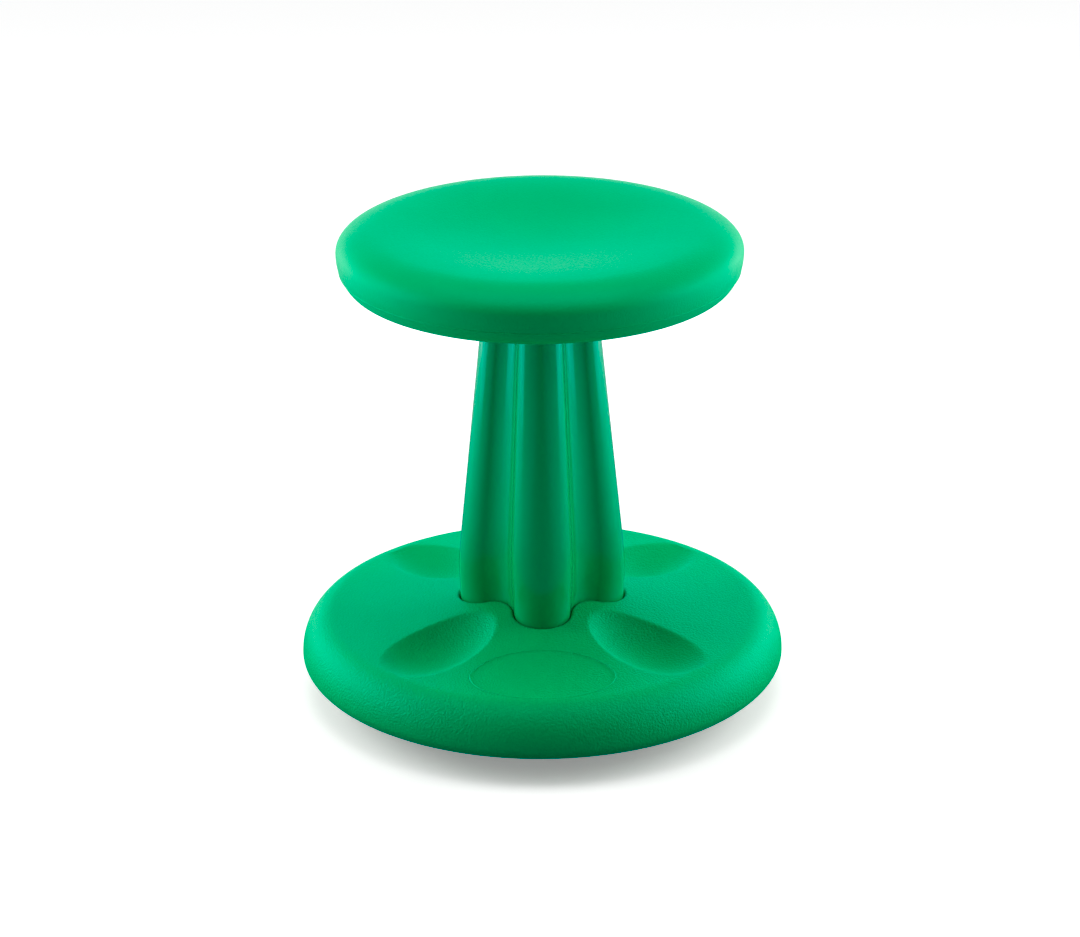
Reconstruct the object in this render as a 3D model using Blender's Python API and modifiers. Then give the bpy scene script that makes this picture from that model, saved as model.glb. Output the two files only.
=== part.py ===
"""Wobble stool: a rigid rocking stool, built from its separate pieces.

A dished round seat and a low round foot are hollow blow-moulded shells. A hollow four-lobed column plugs
into a matching socket in each. One long bolt runs up the middle from the foot's underside into a threaded
insert in the seat and clamps the three shells together. The foot's underside is part of a large ball, so the
whole stool rocks on it, on a soft ring of rubber.

Frame: metres, +Z up, origin on the floor under the middle of the stool, -Y is the front with the blank oval
panel. Every height below is a height above the floor.
"""

import math

import bmesh
import bpy
from mathutils import Matrix

# ---------------------------------------------------------------- driving dimensions

STOOL_HEIGHT = 0.354
FOOT_RADIUS = 0.178
SEAT_RADIUS = 0.1455
WALL = 0.0038  # blow-moulded wall
FIT_GAP = 0.0004  # clearance between pieces that touch on the real stool
SOCKET_GAP = 0.0007
LOBES = 4

# Foot, above its widest circle
FOOT_WIDEST_Z = 0.0285
FOOT_RIM_ROUND = 0.0236  # how far the rim's upper rounding reaches in from the widest circle
FOOT_RIM_TOP_Z = 0.0579
FLARE_SLOPE = 0.015  # the top's slope where it leaves the rim
FLARE_BEND = 1.145  # how fast the slope grows towards the column, per metre
FLARE_START = 0.030  # the top is level inside this radius, where the socket removes it

# Foot, below its widest circle
FOOT_LOWER_ROUND = 0.0257  # how far the rim's lower rounding reaches in
FOOT_LOWER_DROP = 0.0140  # and how far it reaches down
FOOT_LOWER_TURN = 70  # degrees of that rounding, which ends at the ball's own slope
ROCKER_RADIUS = 0.850  # ball radius of the underside
ROCKER_EDGE = 0.150  # where the ball ends
REST_FLAT_RADIUS = 0.032  # flat middle that lets the stool stand upright
SOLE_PROUD = 0.0008  # how far the rubber stands below the foot's own underside

# Rubber ring, and the bolt's recess in the middle of the underside
SOLE_RADIUS = 0.108
SOLE_HOLE = 0.0245
SOLE_THICKNESS = 0.0030
TREAD_GROOVES = 3
TREAD_INNER = 0.044  # the grooves share the ring out from here to its edge
TREAD_DEPTH = 0.0010
TREAD_WIDTH = 0.0030
RECESS_RADIUS = 0.0220
RECESS_ROOF_Z = 0.0220

# Scoops in the foot's top, one between each two lobes of the column
SCOOP_MIDDLE = 0.1052
SCOOP_HALF_LENGTH = 0.0508
SCOOP_HALF_WIDTH = 0.0300
SCOOP_DEPTH = 0.0108
SCOOP_BALL_HEIGHT = 0.0280  # vertical half axis of the ellipsoid that cuts a scoop

# Blank oval panel at the front
PANEL_MIDDLE = 0.1210
PANEL_HALF_WIDTH = 0.0515
PANEL_HALF_LENGTH = 0.0335
PANEL_DEPTH = 0.0008

# Column: radius out to the tip of a lobe, at each height
COLUMN_FOOT_Z = 0.0305
COLUMN_SEAM_Z = 0.0694
COLUMN_WIDEST_Z = 0.0970
COLUMN_TOP_Z = 0.3296
COLUMN_SEAM_TIP = 0.0605
COLUMN_WIDEST_TIP = 0.0617
COLUMN_DRAFT = 0.1022  # loss of tip radius per metre of height above the widest point
# Section over the tip radius: a lobe's rounding at its tip, at its shoulders, and the groove's bottom
SEAM_SECTION = (0.34, 0.34, 0.63)
SHAFT_SECTION = (0.46, 0.28, 0.68)
SHAFT_START_Z = 0.1300  # the section is the shaft's from here up
SHOULDER_TURN = math.radians(30)  # where the tip's arc meets the shoulder's
COLUMN_WALL = 0.0036
COLUMN_BORE = 0.0095  # clears the insert's barrel and the bolt

# Sockets
FOOT_SOCKET_FLOOR_Z = 0.0300
SEAT_SOCKET_ROOF_Z = 0.3300

# Seat
SEAT_WIDEST_Z = 0.3385
SEAT_CREST_IN = 0.0300  # how far the crest of the rim lies in from the widest circle
SEAT_DISH_DEPTH = 0.0085
SEAT_RIM_BOTTOM_Z = 0.3150
SEAT_LOWER_ROUND = 0.0125
SEAT_BELLY_Z = 0.3070  # lowest level of the underside, around the column
SEAT_BELLY_RADIUS = 0.0500

# Fasteners
BOLT_RADIUS = 0.0050
BOLT_TOP_Z = 0.3400
BOLT_CHAMFER = 0.0008
BOLT_HEAD_RADIUS = 0.0080
BOLT_HEAD_HEIGHT = 0.0100
BOLT_HOLE_RADIUS = 0.0058
HEX_KEY_RADIUS = 0.0046  # corner radius of the hexagon socket
HEX_KEY_DEPTH = 0.0055
WASHER_RADIUS = 0.0180
WASHER_THICKNESS = 0.0020
LOCK_WASHER_RADIUS = 0.0090
LOCK_WASHER_THICKNESS = 0.0024
LOCK_WASHER_SPLIT = 0.0009
LOCK_WASHER_SLANT = 35  # degrees
INSERT_FLANGE_RADIUS = 0.0210
INSERT_FLANGE_THICKNESS = 0.0030
INSERT_BARREL_RADIUS = 0.0075
INSERT_BARREL_BOTTOM_Z = 0.3235
CAP_BOTTOM_Z = 0.0012
CAP_TOP_Z = 0.0085
CAP_WALL = 0.0022
CAP_ROUND = 0.0006
BLOW_HOLE_RADIUS = 0.0040
BLOW_HOLE_AT = 0.0380

# Fineness of the round surfaces
FOOT_STEPS = 48
SEAT_STEPS = 48
CAVITY_STEPS = 32
SMALL_STEPS = 24
ARC_POINTS = 6
# Points on the arcs of half a lobe
TIP_POINTS = 2
SHOULDER_POINTS = 3
GROOVE_POINTS = 4
OVERCUT = 0.010  # how far a cutter runs past the surface it opens

# ---------------------------------------------------------------- scene, collections, materials

for old in list(bpy.data.objects):
    bpy.data.objects.remove(old, do_unlink=True)


def collection(name):
    made = bpy.data.collections.new(name)
    bpy.context.scene.collection.children.link(made)
    return made


STOOL = collection("wobble_stool")
CUTTERS = collection("cutters")


def material(name, colour, roughness, metallic=0.0):
    made = bpy.data.materials.new(name)
    made.use_nodes = True
    shader = made.node_tree.nodes["Principled BSDF"]
    shader.inputs["Base Color"].default_value = (*colour, 1.0)
    shader.inputs["Roughness"].default_value = roughness
    shader.inputs["Metallic"].default_value = metallic
    return made


GRAINED_GREEN = material("grained_green_plastic", (0.003, 0.40, 0.14), 0.50)
GLOSSY_GREEN = material("glossy_green_plastic", (0.002, 0.33, 0.11), 0.22)
BLACK_RUBBER = material("black_rubber", (0.02, 0.02, 0.021), 0.80)
ZINC_STEEL = material("zinc_plated_steel", (0.62, 0.63, 0.64), 0.35, 1.0)

# ---------------------------------------------------------------- modelling helpers


def place(obj, finish=None):
    """Puts an object in the stool with its material or, with none, among the cutters."""
    if finish is None:
        CUTTERS.objects.link(obj)
        obj.hide_render = True
        obj.display_type = "WIRE"
        return obj
    STOOL.objects.link(obj)
    obj.data.materials.append(finish)
    return obj


def mesh_object(name, bm, finish=None, crease_degrees=30):
    """Turns a bmesh into an object, smooth where its faces meet at less than the crease angle."""
    data = bpy.data.meshes.new(name)
    bm.to_mesh(data)
    bm.free()
    data.shade_smooth()
    data.set_sharp_from_angle(angle=math.radians(crease_degrees))
    return place(bpy.data.objects.new(name, data), finish)


def turned(name, profile, steps, finish=None):
    """A shape turned about Z. The profile is (radius, height) from the top, down the outside, to the bottom."""
    bm = bmesh.new()
    points = [bm.verts.new((radius, 0.0, height)) for radius, height in profile]
    pairs = list(zip(points, points[1:]))
    on_axis = profile[0][0] == 0 and profile[-1][0] == 0
    if not on_axis:
        pairs.append((points[-1], points[0]))
    for pair in pairs:
        bm.edges.new(pair)
    obj = mesh_object(name, bm, finish)
    screw = obj.modifiers.new("turn", "SCREW")
    screw.steps = screw.render_steps = steps
    screw.use_merge_vertices = True
    screw.merge_threshold = 0.00001
    screw.use_smooth_shade = True
    return obj


def cylinder(name, radius, bottom, top, segments=SMALL_STEPS, along_y=0.0):
    bm = bmesh.new()
    bmesh.ops.create_cone(
        bm, cap_ends=True, segments=segments, radius1=radius, radius2=radius, depth=top - bottom
    )
    bmesh.ops.translate(bm, vec=(0.0, along_y, (top + bottom) / 2), verts=bm.verts)
    return mesh_object(name, bm)


def boolean(obj, cutter):
    cut = obj.modifiers.new(cutter.name, "BOOLEAN")
    cut.object = cutter
    cut.operation = "DIFFERENCE"
    cut.solver = "EXACT"


def spaced(start, end, count):
    return [start + (end - start) * i / (count - 1) for i in range(count)]


def arc(centre, half_axes, start_degrees, end_degrees, points=ARC_POINTS):
    """Points along an ellipse, with the angle measured from +radius towards +height."""
    found = []
    for degrees in spaced(start_degrees, end_degrees, points + 1):
        angle = math.radians(degrees)
        found.append((centre[0] + half_axes[0] * math.cos(angle), centre[1] + half_axes[1] * math.sin(angle)))
    return found


# ---------------------------------------------------------------- the column's four-lobed section


def on_circle(middle, radius, angle):
    return (middle[0] + radius * math.cos(angle), middle[1] + radius * math.sin(angle))


def half_lobe(section):
    """Points from a lobe's tip, which faces +X, over its shoulder and to the bottom of the groove beside it."""
    tip_round, shoulder_round, groove_bottom = section
    half_turn = math.pi / LOBES
    tip_at = (1 - tip_round, 0.0)
    shoulder_at = on_circle(tip_at, tip_round - shoulder_round, SHOULDER_TURN)
    # The groove's arc is centred halfway between two lobes, where it just touches the shoulder's
    reach = math.hypot(*shoulder_at)
    towards = math.cos(half_turn - math.atan2(shoulder_at[1], shoulder_at[0])) * reach
    difference = shoulder_round - groove_bottom
    groove_distance = (reach**2 - difference**2) / (2 * (towards + difference))
    groove_at = on_circle((0.0, 0.0), groove_distance, half_turn)
    groove_round = groove_distance - groove_bottom
    end_turn = math.atan2(groove_at[1] - shoulder_at[1], groove_at[0] - shoulder_at[0])
    points = [on_circle(tip_at, tip_round, turn) for turn in spaced(0, SHOULDER_TURN, TIP_POINTS)]
    turns = spaced(SHOULDER_TURN, end_turn, SHOULDER_POINTS)
    points += [on_circle(shoulder_at, shoulder_round, turn) for turn in turns[1:]]
    turns = spaced(end_turn + math.pi, half_turn + math.pi, GROOVE_POINTS)
    points += [on_circle(groove_at, groove_round, turn) for turn in turns[1:]]
    return points


def unit_outline(section):
    """One closed outline of lobes joined by round grooves, all its arcs tangent, with its tips at radius 1."""
    half = half_lobe(section)
    lobe = [(x, -y) for x, y in half[:0:-1]] + half[:-1]
    outline = []
    for k in range(LOBES):
        facing = (2 * k / LOBES - 0.5) * math.pi
        cosine, sine = math.cos(facing), math.sin(facing)
        outline += [(x * cosine - y * sine, x * sine + y * cosine) for x, y in lobe]
    return outline


def lobed_loop(tip, height):
    """The column's section at a height. It changes from the seam's to the shaft's on the way up."""
    share = min(1.0, max(0.0, (height - COLUMN_SEAM_Z) / (SHAFT_START_Z - COLUMN_SEAM_Z)))
    share = share**2 * (3 - 2 * share)
    loop = []
    for low, high in zip(unit_outline(SEAM_SECTION), unit_outline(SHAFT_SECTION)):
        x, y = (a * (1 - share) + b * share for a, b in zip(low, high))
        loop.append((x * tip, y * tip, height))
    return loop


def column_tip(height):
    """Radius out to the tip of a lobe: a short lead-in up to the widest point, then the draft."""
    if height > COLUMN_WIDEST_Z:
        return COLUMN_WIDEST_TIP - COLUMN_DRAFT * (height - COLUMN_WIDEST_Z)
    share = (COLUMN_WIDEST_Z - height) / (COLUMN_WIDEST_Z - COLUMN_SEAM_Z)
    return COLUMN_WIDEST_TIP - (COLUMN_WIDEST_TIP - COLUMN_SEAM_TIP) * share


def skinned(name, loops, finish=None, closed_ends=True):
    """A skin over loops of equally many (x, y, z) points, from the bottom to the top."""
    bm = bmesh.new()
    rings = [[bm.verts.new(point) for point in loop] for loop in loops]
    for low, high in zip(rings, rings[1:]):
        for i, corner in enumerate(low):
            j = (i + 1) % len(low)
            bm.faces.new((corner, low[j], high[j], high[i]))
    if closed_ends:
        bm.faces.new(rings[0][::-1])
        bm.faces.new(rings[-1])
    return mesh_object(name, bm, finish)


def lobed_prism(name, tip_low, tip_high, low, high, level=None):
    """A solid cutter from one height to another, with the column's section there or at one level."""
    loops = []
    for tip, height in ((tip_low, low), (tip_high, high)):
        loop = lobed_loop(tip, height if level is None else level)
        loops.append([(x, y, height) for x, y, _ in loop])
    return skinned(name, loops)


# ---------------------------------------------------------------- foot


def ball_rise(radius):
    """Height of the rocking ball's surface above its lowest point."""
    return ROCKER_RADIUS - math.sqrt(ROCKER_RADIUS**2 - radius**2)


def rocker_z(radius):
    """Height of the surface that the stool rocks on, flat in the middle."""
    return max(0.0, ball_rise(radius) - ball_rise(REST_FLAT_RADIUS))


def flare_z(radius):
    """Height of the foot's top between the rim and the column."""
    inward = FOOT_RADIUS - FOOT_RIM_ROUND - radius
    return FOOT_RIM_TOP_Z + FLARE_SLOPE * inward + FLARE_BEND * inward**2


def flare_curve(start, end, points, inset):
    return [(radius, flare_z(radius) - inset) for radius in spaced(start, end, points)]


def foot_upper(start, inset):
    """The foot's section from the given radius on its top to the bottom of its rim, drawn in by a wall."""
    rim_at = FOOT_RADIUS - FOOT_RIM_ROUND
    lower_at = FOOT_RADIUS - FOOT_LOWER_ROUND
    top = flare_curve(start, rim_at, ARC_POINTS, inset)[:-1]
    rim_height = FOOT_RIM_TOP_Z - FOOT_WIDEST_Z
    upper = arc((rim_at, FOOT_WIDEST_Z), (FOOT_RIM_ROUND - inset, rim_height - inset), 90, 0)
    lower_axes = (FOOT_LOWER_ROUND - inset, FOOT_LOWER_DROP - inset)
    lower = arc((lower_at, FOOT_WIDEST_Z), lower_axes, 0, -FOOT_LOWER_TURN, 4)
    return top + upper + lower[1:]


def underside(radii, lift):
    return [(radius, rocker_z(radius) + lift) for radius in radii]


def foot_outer():
    sole_edge = SOLE_RADIUS + FIT_GAP
    profile = [(0.0, flare_z(FLARE_START))] + foot_upper(FLARE_START, 0.0)
    profile += underside(spaced(ROCKER_EDGE, sole_edge, 3), SOLE_PROUD)
    # The shallow rebate that holds the rubber ring, then the bolt's recess
    rebate = (sole_edge, 0.080, 0.055, REST_FLAT_RADIUS, RECESS_RADIUS)
    profile += underside(rebate, SOLE_THICKNESS + FIT_GAP)
    profile += [(RECESS_RADIUS, RECESS_ROOF_Z), (0.0, RECESS_ROOF_Z)]
    return turned("base_shell", profile, FOOT_STEPS, GRAINED_GREEN)


def foot_cavity():
    """The hollow inside the foot, which leaves a wall all round and a post round the bolt's recess."""
    post = RECESS_RADIUS + WALL
    profile = foot_upper(post, WALL)
    profile += underside((ROCKER_EDGE - WALL, SOLE_RADIUS + WALL), SOLE_PROUD + WALL)
    profile += underside((SOLE_RADIUS, 0.080, 0.055, post), SOLE_THICKNESS + FIT_GAP + WALL)
    return turned("foot_cavity", profile, CAVITY_STEPS)


def scoop(name, turn_degrees, grow=0.0):
    """An ellipsoid that scoops the foot's top, lying along the slope there. Grow makes it larger all round."""
    above = SCOOP_BALL_HEIGHT - SCOOP_DEPTH
    share = math.sqrt(1 - (above / SCOOP_BALL_HEIGHT) ** 2)
    half_axes = (SCOOP_HALF_LENGTH / share, SCOOP_HALF_WIDTH / share, SCOOP_BALL_HEIGHT)
    slope = FLARE_SLOPE + 2 * FLARE_BEND * (FOOT_RADIUS - FOOT_RIM_ROUND - SCOOP_MIDDLE)
    bm = bmesh.new()
    bmesh.ops.create_uvsphere(bm, u_segments=24, v_segments=16, radius=1.0)
    bmesh.ops.scale(bm, vec=[axis + grow for axis in half_axes], verts=bm.verts)
    bmesh.ops.translate(bm, vec=(0.0, 0.0, above), verts=bm.verts)
    bmesh.ops.rotate(bm, cent=(0, 0, 0), matrix=Matrix.Rotation(math.atan(slope), 3, "Y"), verts=bm.verts)
    bmesh.ops.translate(bm, vec=(SCOOP_MIDDLE, 0.0, flare_z(SCOOP_MIDDLE)), verts=bm.verts)
    turn = Matrix.Rotation(math.radians(turn_degrees), 3, "Z")
    bmesh.ops.rotate(bm, cent=(0, 0, 0), matrix=turn, verts=bm.verts)
    return mesh_object(name, bm)


def panel_cutter():
    """The space of the shallow oval panel: an oval block less a copy of the foot's top, sunk by its depth."""
    low = FOOT_RIM_TOP_Z - OVERCUT
    block = cylinder("panel_cut", 1.0, low, FOOT_RIM_TOP_Z + 2 * OVERCUT, 36)
    block.data.transform(Matrix.Diagonal((PANEL_HALF_WIDTH, PANEL_HALF_LENGTH, 1.0, 1.0)))
    block.data.transform(Matrix.Translation((0.0, -PANEL_MIDDLE, 0.0)))
    rim_at = FOOT_RADIUS - FOOT_RIM_ROUND
    below = low - OVERCUT
    sunk = flare_curve(FLARE_START, rim_at, ARC_POINTS, PANEL_DEPTH)
    sunk = [(0.0, sunk[0][1]), *sunk, (rim_at, below), (0.0, below)]
    boolean(block, turned("sunk_top", sunk, FOOT_STEPS))
    return block


def base_shell():
    foot = foot_outer()
    cavity = foot_cavity()
    tip = COLUMN_SEAM_TIP + SOCKET_GAP
    above = flare_z(FLARE_START) + OVERCUT
    wall_bottom = FOOT_SOCKET_FLOOR_Z - WALL
    boolean(cavity, lobed_prism("foot_socket_wall", tip + WALL, tip + WALL, wall_bottom, above, COLUMN_SEAM_Z))
    turns = [(k + 0.5) * 360 / LOBES for k in range(LOBES)]
    for k, turn in enumerate(turns):
        boolean(cavity, scoop(f"scoop_wall_{k}", turn, WALL))
    for k, turn in enumerate(turns):
        boolean(foot, scoop(f"scoop_{k}", turn))
    boolean(foot, panel_cutter())
    boolean(foot, cavity)
    boolean(foot, lobed_prism("foot_socket", tip, tip, FOOT_SOCKET_FLOOR_Z, above, COLUMN_SEAM_Z))
    boolean(foot, cylinder("foot_bolt_hole", BOLT_HOLE_RADIUS, RECESS_ROOF_Z - OVERCUT, above))
    # The hole that the foot was blown through opens its hollow into the socket
    boolean(foot, cylinder("foot_blow_hole", BLOW_HOLE_RADIUS, wall_bottom - 0.004, above, 12, BLOW_HOLE_AT))
    return foot


def sole_ring():
    """The rubber ring, with round tread grooves in its lower face."""
    radii = (SOLE_HOLE, REST_FLAT_RADIUS, 0.055, 0.080, SOLE_RADIUS)
    profile = underside(radii, SOLE_THICKNESS)
    profile += underside((SOLE_RADIUS,), 0.0)
    pitch = (SOLE_RADIUS - TREAD_INNER) / TREAD_GROOVES
    half = TREAD_WIDTH / 2
    for k in range(TREAD_GROOVES):
        middle = SOLE_RADIUS - pitch * (k + 0.5)
        profile += underside((middle + half,), 0.0)
        profile += underside((middle + half, middle - half), TREAD_DEPTH)
        profile += underside((middle - half,), 0.0)
    profile += underside((REST_FLAT_RADIUS, SOLE_HOLE), 0.0)
    return turned("sole_ring", profile, FOOT_STEPS, BLACK_RUBBER)


# ---------------------------------------------------------------- seat


def dish_z(radius):
    """Height of the seat's top inside the crest of its rim."""
    share = radius / (SEAT_RADIUS - SEAT_CREST_IN)
    return STOOL_HEIGHT - SEAT_DISH_DEPTH * (1 - share**2) ** 2


def belly_z(radius):
    """Height of the seat's underside, which drops smoothly from the rim towards the column."""
    edge = SEAT_RADIUS - SEAT_LOWER_ROUND
    share = min(1.0, (edge - radius) / (edge - SEAT_BELLY_RADIUS))
    return SEAT_RIM_BOTTOM_Z - (SEAT_RIM_BOTTOM_Z - SEAT_BELLY_Z) * share**2 * (3 - 2 * share)


def seat_section(inset):
    """The seat's section from the axis at the top, over the crest and round the rim, to the underside."""
    crest_at = SEAT_RADIUS - SEAT_CREST_IN
    lower_at = SEAT_RADIUS - SEAT_LOWER_ROUND
    dish = [(radius, dish_z(radius) - inset) for radius in spaced(0.0, crest_at, ARC_POINTS)[:-1]]
    upper_axes = (SEAT_CREST_IN - inset, STOOL_HEIGHT - SEAT_WIDEST_Z - inset)
    upper = arc((crest_at, SEAT_WIDEST_Z), upper_axes, 90, 0)
    lower_axes = (SEAT_LOWER_ROUND - inset, SEAT_WIDEST_Z - SEAT_RIM_BOTTOM_Z - inset)
    lower = arc((lower_at, SEAT_WIDEST_Z), lower_axes, 0, -90, 5)
    belly = [(radius, belly_z(radius) + inset) for radius in (*spaced(0.115, SEAT_BELLY_RADIUS, 4), 0.0)]
    return dish + upper + lower[1:] + belly


def seat_shell():
    seat = turned("seat_shell", seat_section(0.0), SEAT_STEPS, GRAINED_GREEN)
    cavity = turned("seat_cavity", seat_section(WALL), CAVITY_STEPS)
    low = SEAT_BELLY_Z - OVERCUT
    roof = SEAT_SOCKET_ROOF_Z
    low_tip = column_tip(low) + SOCKET_GAP
    roof_tip = column_tip(roof) + SOCKET_GAP
    boolean(cavity, lobed_prism("seat_socket_wall", low_tip + WALL, roof_tip + WALL, low, roof + WALL))
    boolean(seat, cavity)
    boolean(seat, lobed_prism("seat_socket", low_tip, roof_tip, low, roof))
    # The insert's hole also opens the seat's hollow
    hole = INSERT_BARREL_RADIUS + FIT_GAP
    boolean(seat, cylinder("seat_insert_hole", hole, roof - 0.004, roof + WALL + 0.003))
    return seat


# ---------------------------------------------------------------- column


def column():
    """The hollow column, closed at both ends but for the bolt's holes."""
    halfway = (COLUMN_SEAM_Z + COLUMN_WIDEST_Z) / 2
    heights = (COLUMN_FOOT_Z, COLUMN_SEAM_Z, halfway, COLUMN_WIDEST_Z, SHAFT_START_Z, COLUMN_TOP_Z)
    loops = [lobed_loop(column_tip(height), height) for height in heights]
    facings = [math.atan2(y, x) for x, y in unit_outline(SEAM_SECTION)]
    holes = []
    for height in (COLUMN_FOOT_Z, COLUMN_TOP_Z):
        holes.append([(*on_circle((0.0, 0.0), COLUMN_BORE, facing), height) for facing in facings])
    obj = skinned("column", [holes[0], *loops, holes[1]], GLOSSY_GREEN, closed_ends=False)
    shell = obj.modifiers.new("wall", "SOLIDIFY")
    shell.thickness = COLUMN_WALL
    shell.offset = -1.0
    shell.use_even_offset = True
    return obj


# ---------------------------------------------------------------- fasteners

WASHER_TOP_Z = RECESS_ROOF_Z - FIT_GAP
LOCK_WASHER_TOP_Z = WASHER_TOP_Z - WASHER_THICKNESS - FIT_GAP
BOLT_HEAD_TOP_Z = LOCK_WASHER_TOP_Z - LOCK_WASHER_THICKNESS - FIT_GAP


def tie_bolt():
    head_bottom = BOLT_HEAD_TOP_Z - BOLT_HEAD_HEIGHT
    profile = [
        (0.0, BOLT_TOP_Z),
        (BOLT_RADIUS - BOLT_CHAMFER, BOLT_TOP_Z),
        (BOLT_RADIUS, BOLT_TOP_Z - BOLT_CHAMFER),
        (BOLT_RADIUS, BOLT_HEAD_TOP_Z),
        (BOLT_HEAD_RADIUS, BOLT_HEAD_TOP_Z),
        (BOLT_HEAD_RADIUS, head_bottom + BOLT_CHAMFER),
        (BOLT_HEAD_RADIUS - BOLT_CHAMFER, head_bottom),
        (0.0, head_bottom),
    ]
    bolt = turned("tie_bolt", profile, SMALL_STEPS, ZINC_STEEL)
    boolean(bolt, cylinder("hex_socket", HEX_KEY_RADIUS, head_bottom - OVERCUT, head_bottom + HEX_KEY_DEPTH, 6))


def washer(name, radius, thickness, top):
    inner = BOLT_RADIUS + FIT_GAP
    round_edge = 0.0004
    profile = [
        (inner, top),
        (radius - round_edge, top),
        (radius, top - round_edge),
        (radius, top - thickness + round_edge),
        (radius - round_edge, top - thickness),
        (inner, top - thickness),
    ]
    return turned(name, profile, SMALL_STEPS, ZINC_STEEL)


def lock_washer():
    """A spring washer: a ring with one slanting cut."""
    ring = washer("lock_washer", LOCK_WASHER_RADIUS, LOCK_WASHER_THICKNESS, LOCK_WASHER_TOP_Z)
    slant = Matrix.Rotation(math.radians(LOCK_WASHER_SLANT), 3, "X")
    middle = (LOCK_WASHER_RADIUS, 0.0, LOCK_WASHER_TOP_Z - LOCK_WASHER_THICKNESS / 2)
    bm = bmesh.new()
    bmesh.ops.create_cube(bm, size=1.0)
    bmesh.ops.scale(bm, vec=(OVERCUT, LOCK_WASHER_SPLIT, OVERCUT), verts=bm.verts)
    bmesh.ops.rotate(bm, cent=(0, 0, 0), matrix=slant, verts=bm.verts)
    bmesh.ops.translate(bm, vec=middle, verts=bm.verts)
    boolean(ring, mesh_object("washer_split", bm))


def seat_insert():
    """The threaded insert in the roof of the seat's socket: a round flange on a barrel."""
    flange_bottom = SEAT_SOCKET_ROOF_Z + WALL + FIT_GAP
    flange_top = flange_bottom + INSERT_FLANGE_THICKNESS
    bore = BOLT_RADIUS + FIT_GAP
    profile = [
        (bore, flange_top),
        (INSERT_FLANGE_RADIUS, flange_top),
        (INSERT_FLANGE_RADIUS, flange_bottom),
        (INSERT_BARREL_RADIUS, flange_bottom),
        (INSERT_BARREL_RADIUS, INSERT_BARREL_BOTTOM_Z),
        (bore, INSERT_BARREL_BOTTOM_Z),
    ]
    return turned("seat_insert", profile, SMALL_STEPS, ZINC_STEEL)


def bolt_cap():
    """The soft plug that closes the bolt's recess: a thin disc with a gripping skirt."""
    outer = RECESS_RADIUS - FIT_GAP
    web_top = CAP_BOTTOM_Z + CAP_WALL
    profile = [
        (0.0, web_top),
        (outer - CAP_WALL, web_top),
        (outer - CAP_WALL, CAP_TOP_Z),
        (outer, CAP_TOP_Z),
        (outer, CAP_BOTTOM_Z + CAP_ROUND),
        (outer - CAP_ROUND, CAP_BOTTOM_Z),
        (0.0, CAP_BOTTOM_Z),
    ]
    return turned("bolt_cap", profile, SMALL_STEPS, BLACK_RUBBER)


base_shell()
sole_ring()
seat_shell()
column()
tie_bolt()
washer("bolt_washer", WASHER_RADIUS, WASHER_THICKNESS, WASHER_TOP_Z)
lock_washer()
seat_insert()
bolt_cap()
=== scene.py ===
"""The looks of the wobble stool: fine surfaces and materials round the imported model's fixed frame.

Metres, +Z up, origin on the floor under the middle of the stool, -Y is the front.
"""

import math

import bpy
import numpy as np
from mathutils import Matrix, Vector


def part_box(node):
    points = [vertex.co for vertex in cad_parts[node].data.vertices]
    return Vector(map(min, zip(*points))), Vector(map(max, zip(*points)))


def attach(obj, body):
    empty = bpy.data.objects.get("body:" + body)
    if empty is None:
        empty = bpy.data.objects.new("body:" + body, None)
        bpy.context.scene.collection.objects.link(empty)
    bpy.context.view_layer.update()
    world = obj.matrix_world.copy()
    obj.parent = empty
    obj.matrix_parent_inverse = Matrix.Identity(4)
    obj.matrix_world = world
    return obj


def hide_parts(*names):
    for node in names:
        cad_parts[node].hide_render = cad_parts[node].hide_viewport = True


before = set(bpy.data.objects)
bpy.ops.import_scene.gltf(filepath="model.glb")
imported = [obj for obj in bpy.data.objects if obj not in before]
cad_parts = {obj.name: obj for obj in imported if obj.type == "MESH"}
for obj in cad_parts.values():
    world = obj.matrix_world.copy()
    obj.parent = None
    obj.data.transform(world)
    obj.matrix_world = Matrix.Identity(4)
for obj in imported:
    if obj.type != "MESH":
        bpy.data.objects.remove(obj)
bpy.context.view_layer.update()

# ---------------------------------------------------------------- sizes read from the frame

COLUMN_LOW, COLUMN_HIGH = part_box("column")
CAP_LOW, CAP_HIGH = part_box("bolt_cap")
SEAT_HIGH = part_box("seat_shell")[1]

FOOT_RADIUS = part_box("base_shell")[1][0]
SEAT_RADIUS = SEAT_HIGH[0]
STOOL_HEIGHT = SEAT_HIGH[2]
SOLE_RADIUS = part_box("sole_ring")[1][0]

# ---------------------------------------------------------------- sizes of the shapes

# Foot
FOOT_WIDEST_Z = 0.0285
FOOT_RIM_ROUND = 0.0236
FOOT_RIM_TOP_Z = 0.0579
FOOT_LOWER_ROUND = 0.0257
FOOT_LOWER_DROP = 0.0140
FOOT_LOWER_TURN = 70  # degrees of the lower rounding that are kept
FLARE_SLOPE = 0.015  # the top's slope where it leaves the rim
FLARE_BEND = 1.145  # how fast the slope grows towards the column, per metre
ROCKER_RADIUS = 0.850  # the ball that the underside is part of
ROCKER_EDGE = 0.150  # where the ball ends
REST_FLAT_RADIUS = 0.032
FIT_GAP = 0.0004  # between pieces that touch on the real stool
RECESS_RADIUS = 0.0220
RECESS_ROOF_Z = 0.0220
BOLT_HOLE_RADIUS = 0.0058
FOOT_SOCKET_FLOOR_Z = 0.0300
SOCKET_FLOOR_RADII = (0.020, 0.034)  # of the rings that divide the socket's flat floor
REBATE_RADIUS = 0.105  # from here in, the rebate's rings are evenly spaced

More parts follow.
